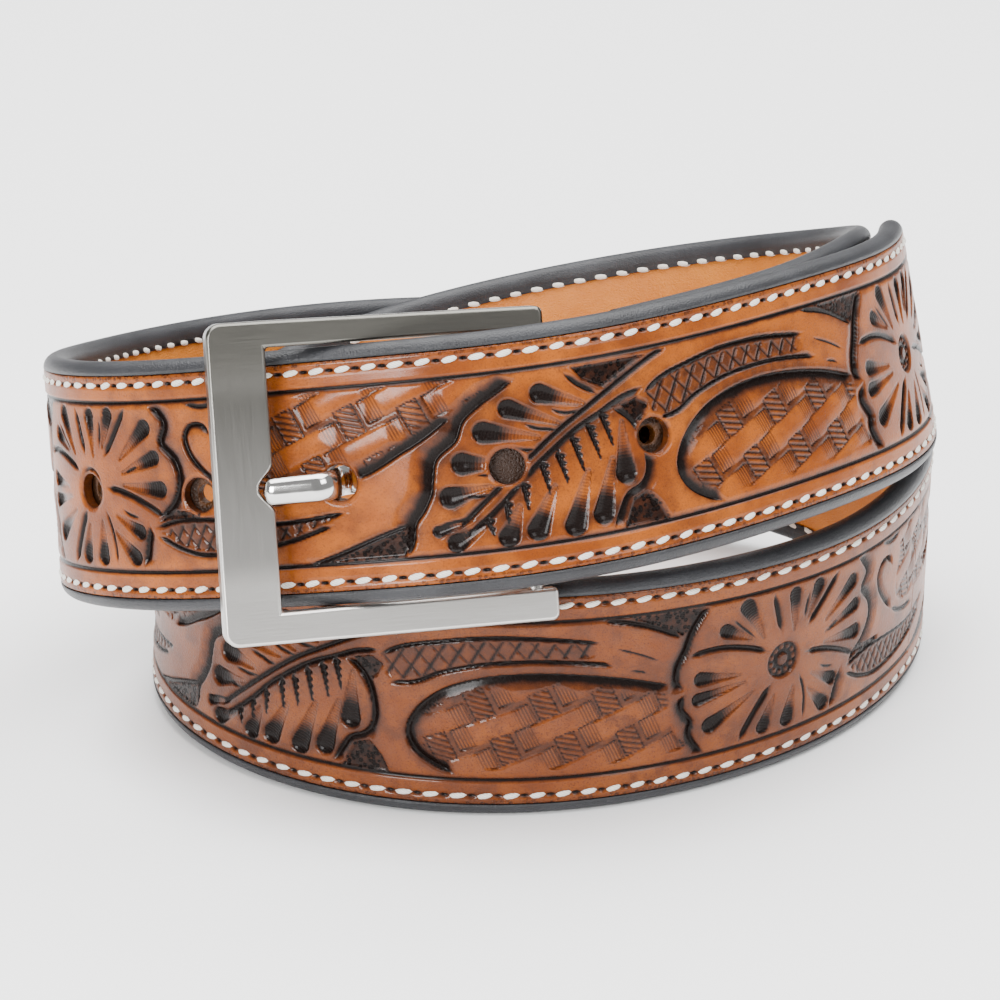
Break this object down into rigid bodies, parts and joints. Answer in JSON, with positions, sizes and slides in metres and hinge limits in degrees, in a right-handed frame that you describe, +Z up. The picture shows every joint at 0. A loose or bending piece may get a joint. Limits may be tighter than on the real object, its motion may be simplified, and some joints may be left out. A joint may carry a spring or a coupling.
{
  "type": "western tooled belt",
  "caption": "Buckled leather belt rolled up as a double loop, with a floral and basket-weave tooled face, dark rolled edges and a plain rectangular buckle.",
  "frame": {"origin": "the middle of the bounding box's footprint, on the surface that the rolled belt lies on", "axes": "+Z up, +X to the right of the buckle's front as it is worn on the coil's near side, the buckle faces -Y"},
  "size_m": [0.1454, 0.1498, 0.0801],
  "materials": {
    "tooled_leather": "vegetable-tanned leather, tooled, antiqued dark in the recesses and finished with a soft gloss",
    "lining_leather": "smooth light tan lining leather, satin",
    "binding_leather": "thin black grained leather, rolled round the edge, satin",
    "thread": "thick waxed off-white thread",
    "brushed_metal": "nickel-plated, brushed along the strap's width",
    "polished_metal": "nickel-plated, polished"
  },
  "bodies": {
    "root": {"tooled_strap": "tooled_leather", "strap_lining": "lining_leather", "edge_binding": "binding_leather", "buckle_fold": "tooled_leather", "fold_post_lower": "brushed_metal", "fold_post_upper": "brushed_metal", "buckle_frame": "brushed_metal", "buckle_prong": "polished_metal"}
  },
  "joints": []
}
